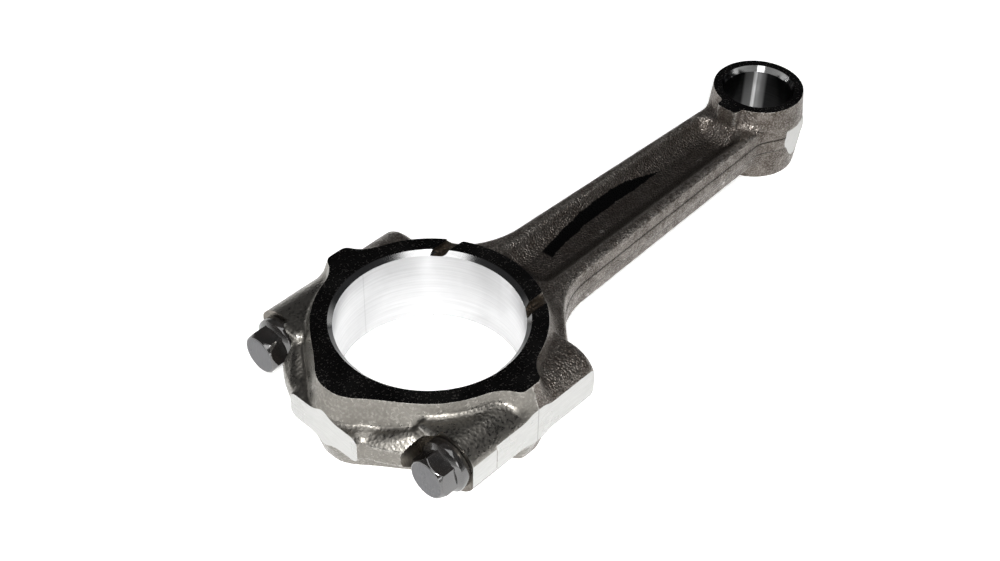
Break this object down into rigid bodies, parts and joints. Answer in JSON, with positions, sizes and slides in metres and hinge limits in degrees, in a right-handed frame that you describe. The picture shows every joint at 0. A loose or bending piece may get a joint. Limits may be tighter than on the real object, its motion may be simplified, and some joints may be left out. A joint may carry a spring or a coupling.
{
  "type": "connecting rod",
  "caption": "Forged I-section connecting rod with a bolted bearing cap at the big end and a plain pin bore at the small end, for a small piston engine.",
  "frame": {"origin": "centre of the big-end bore at half thickness", "axes": "+Z along both bore axes, +X along the shank to the small end, the cap is on the -X side"},
  "size_m": [0.1978, 0.0786, 0.0248],
  "materials": {
    "forged_steel": "forged and shot blasted, machined faces bright",
    "bolt_steel": "black oxide, oiled, end faces ground",
    "dowel_steel": "bright ground"
  },
  "bodies": {
    "rod": {"connecting_rod": "forged_steel", "cap_dowel_left": "dowel_steel", "cap_dowel_right": "dowel_steel"},
    "cap": {"bearing_cap": "forged_steel"},
    "bolt_left": {"cap_bolt_left": "bolt_steel"},
    "bolt_right": {"cap_bolt_right": "bolt_steel"}
  },
  "joints": [
    {"name": "cap_lift_off", "type": "slide", "parent": "rod", "child": "cap", "axis": [-1, 0, 0], "range_m": [0, 0.04]},
    {"name": "bolt_left_out", "type": "slide", "parent": "cap", "child": "bolt_left", "axis": [-1, 0, 0], "range_m": [0, 0.05]},
    {"name": "bolt_right_out", "type": "slide", "parent": "cap", "child": "bolt_right", "axis": [-1, 0, 0], "range_m": [0, 0.05]}
  ]
}
